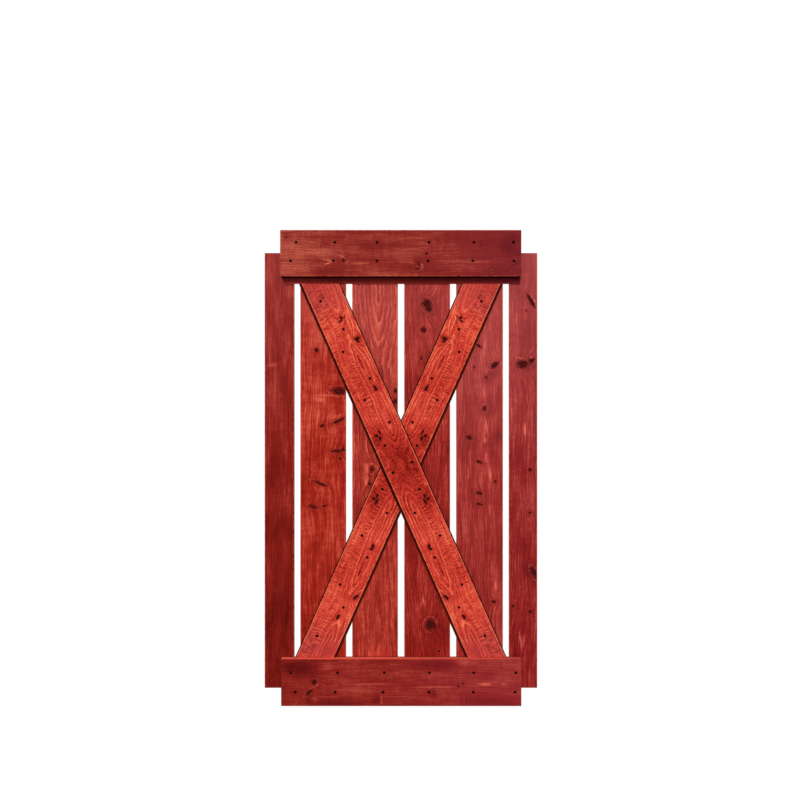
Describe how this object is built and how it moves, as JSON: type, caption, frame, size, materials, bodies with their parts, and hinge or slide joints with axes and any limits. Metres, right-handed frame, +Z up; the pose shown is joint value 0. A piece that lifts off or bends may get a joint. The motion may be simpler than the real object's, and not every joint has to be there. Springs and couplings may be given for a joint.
{
  "type": "sliding barn door",
  "caption": "Rustic sliding barn door in stained knotty pine: upright planks with gaps, a rail across the top and the bottom, and an X brace between them.",
  "frame": {"origin": "middle of the door's footprint, at the height of the bottom rail's lower edge", "axes": "+Z up along the planks, +X to the right seen from the front, front (rails and braces) towards -Y"},
  "size_m": [1.235, 0.051, 2.135],
  "materials": {
    "plank_wood": "knotty pine, crimson stain, matt",
    "rail_wood": "knotty pine, brown-red stain, matt",
    "brace_wood": "knotty pine, orange-red stain, matt",
    "black_screws": "black phosphate"
  },
  "bodies": {
    "root": {"plank_1": "plank_wood", "plank_2": "plank_wood", "plank_3": "plank_wood", "plank_4": "plank_wood", "plank_5": "plank_wood", "plank_6": "plank_wood", "top_rail": "rail_wood", "bottom_rail": "rail_wood", "long_brace": "brace_wood", "upper_half_brace": "brace_wood", "lower_half_brace": "brace_wood", "top_rail_screws": "black_screws", "bottom_rail_screws": "black_screws", "long_brace_screws": "black_screws", "upper_half_brace_screws": "black_screws", "lower_half_brace_screws": "black_screws"}
  },
  "joints": []
}
